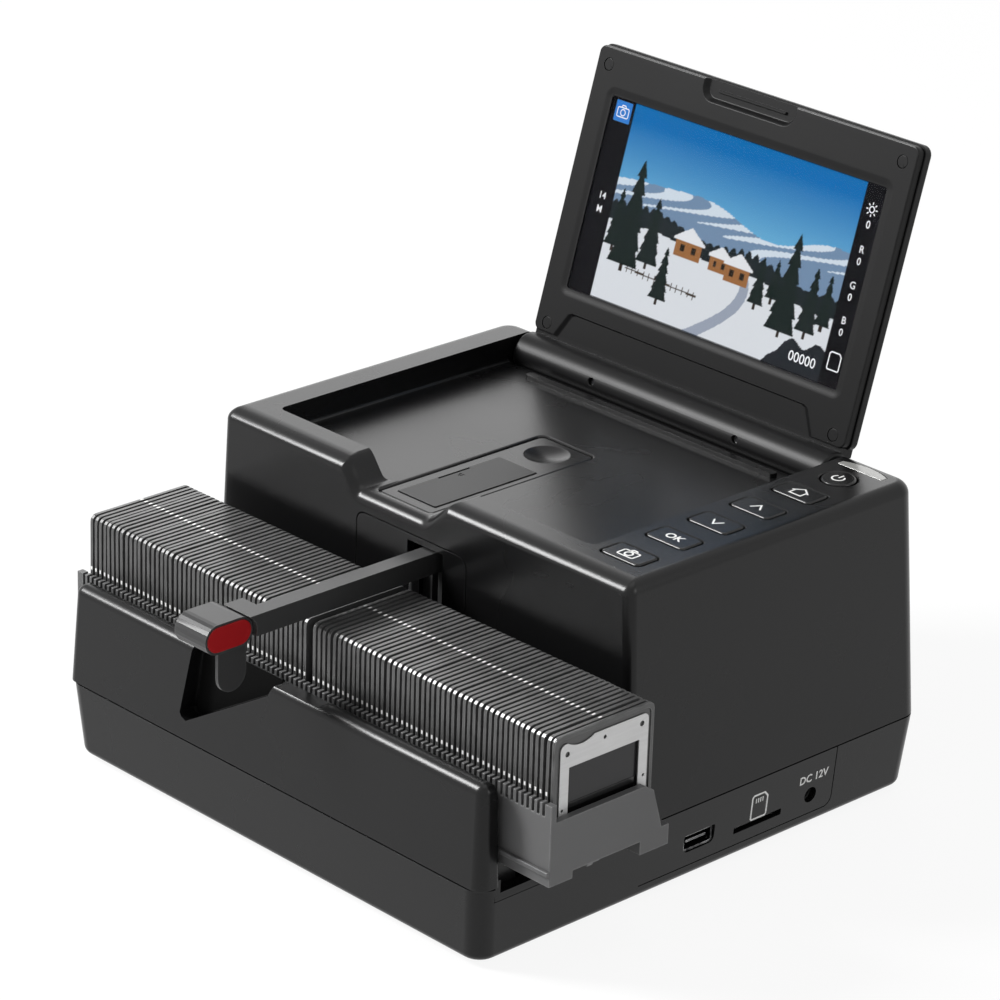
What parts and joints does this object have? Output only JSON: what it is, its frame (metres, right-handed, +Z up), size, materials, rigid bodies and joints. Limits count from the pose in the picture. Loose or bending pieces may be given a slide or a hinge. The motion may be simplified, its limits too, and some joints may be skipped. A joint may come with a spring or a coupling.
{
  "type": "slide scanner",
  "caption": "Table-top slide scanner with a straight slide tray through its front, a hand-pulled transport arm, a row of keys and a flip-up screen.",
  "frame": {"origin": "middle of the part's box on the surface that its feet stand on; x is 0 at the gate's slide plane, halfway along the tray", "axes": "+X to the right of someone who faces the keys and the screen, +Y from the front wall to the screen's hinge, +Z up"},
  "size_m": [0.2684, 0.3058, 0.2494],
  "materials": {
    "casing": "satin black moulded plastic",
    "lid_plastic": "fine-grained dark grey plastic",
    "inner_plastic": "black moulded plastic",
    "key_plastic": "satin black plastic with white print",
    "light_lens": "frosted light pipe",
    "tray_plastic": "mid grey moulded plastic",
    "slide_plastic": "black slide mount with a paler rim",
    "mask_metal": "thin brushed sheet",
    "film": "dark film",
    "red_plastic": "satin red cap",
    "dark_glass": "glossy black glass",
    "steel": "plain zinc-plated steel",
    "gear_plastic": "natural acetal",
    "board": "green laminate",
    "white_plastic": "white diffusing plastic",
    "rubber": "matt black rubber"
  },
  "bodies": {
    "casing": {"base_shell": "casing", "upper_housing": "casing", "gate_door": "casing", "foot_front_left": "rubber", "foot_front_right": "rubber", "foot_rear_left": "rubber", "foot_rear_right": "rubber", "hinge_bracket_left": "steel", "hinge_bracket_right": "steel", "main_board": "board", "video_socket": "steel", "card_socket": "steel", "power_inlet": "inner_plastic", "key_board": "board", "light_lens": "light_lens", "gate_frame": "inner_plastic", "lamp_box": "white_plastic", "diffuser": "white_plastic", "lamp_board": "board", "lens_barrel": "inner_plastic", "lens_glass": "dark_glass", "sensor_board": "board", "arm_motor": "steel", "tray_motor": "steel"},
    "lid": {"lid_bezel": "lid_plastic", "lid_cover": "lid_plastic", "display_panel": "dark_glass", "screen_glass": "dark_glass", "screw_plug_top_left": "lid_plastic", "screw_plug_top_right": "lid_plastic", "screw_plug_bottom_left": "lid_plastic", "screw_plug_bottom_right": "lid_plastic", "hinge_barrel": "lid_plastic", "barrel_screw_left": "steel", "barrel_screw_right": "steel", "hinge_pin_left": "steel", "hinge_pin_right": "steel"},
    "tray": {"tray_body": "tray_plastic", "slides_left": "slide_plastic", "slides_right": "slide_plastic", "end_slide_mount": "slide_plastic", "end_slide_mask": "mask_metal", "end_slide_film": "film"},
    "arm": {"arm_bar": "inner_plastic", "grip_head": "inner_plastic", "grip_cap": "red_plastic"},
    "arm_drive": {"arm_gear": "gear_plastic"},
    "tray_drive": {"tray_gear": "gear_plastic"},
    "hatch": {"hatch": "casing", "hatch_insert": "lid_plastic"},
    "capture_key": {"key_capture": "key_plastic"},
    "ok_key": {"key_ok": "key_plastic"},
    "down_key": {"key_down": "key_plastic"},
    "up_key": {"key_up": "key_plastic"},
    "home_key": {"key_home": "key_plastic"},
    "power_key": {"key_power": "key_plastic"}
  },
  "joints": [
    {"name": "lid_hinge", "type": "hinge", "parent": "casing", "child": "lid", "pos_m": [0, 0.10815, 0.1233], "axis": [1, 0, 0], "range_deg": [-4, 106.1]},
    {"name": "tray_slide", "type": "slide", "parent": "casing", "child": "tray", "axis": [1, 0, 0], "range_m": [-0.136, 0.136]},
    {"name": "arm_slide", "type": "slide", "parent": "casing", "child": "arm", "axis": [0, 1, 0], "range_m": [0, 0.088]},
    {"name": "arm_gear_spin", "type": "hinge", "parent": "casing", "child": "arm_drive", "pos_m": [0, 0.01065, 0.094], "axis": [-1, 0, 0], "range_deg": [-1, 661]},
    {"name": "tray_gear_spin", "type": "hinge", "parent": "casing", "child": "tray_drive", "pos_m": [0, -0.07835, 0.02438], "axis": [0, 1, 0], "range_deg": [-503, 503]},
    {"name": "hatch_hinge", "type": "hinge", "parent": "casing", "child": "hatch", "pos_m": [-0.022, -0.03345, 0.1189], "axis": [-1, 0, 0], "range_deg": [-90, 0]},
    {"name": "capture_key_press", "type": "slide", "parent": "casing", "child": "capture_key", "axis": [0, 0, -1], "range_m": [0, 0.001], "stiffness_N_per_m": 1200},
    {"name": "ok_key_press", "type": "slide", "parent": "casing", "child": "ok_key", "axis": [0, 0, -1], "range_m": [0, 0.001], "stiffness_N_per_m": 1200},
    {"name": "down_key_press", "type": "slide", "parent": "casing", "child": "down_key", "axis": [0, 0, -1], "range_m": [0, 0.001], "stiffness_N_per_m": 1200},
    {"name": "up_key_press", "type": "slide", "parent": "casing", "child": "up_key", "axis": [0, 0, -1], "range_m": [0, 0.001], "stiffness_N_per_m": 1200},
    {"name": "home_key_press", "type": "slide", "parent": "casing", "child": "home_key", "axis": [0, 0, -1], "range_m": [0, 0.001], "stiffness_N_per_m": 1200},
    {"name": "power_key_press", "type": "slide", "parent": "casing", "child": "power_key", "axis": [0, 0, -1], "range_m": [0, 0.001], "stiffness_N_per_m": 1200}
  ],
  "couplings": [
    {"joint": "tray_gear_spin", "follows": "tray_slide", "rad_per_m": 64.403},
    {"joint": "arm_gear_spin", "follows": "arm_slide", "rad_per_m": 130.9}
  ]
}
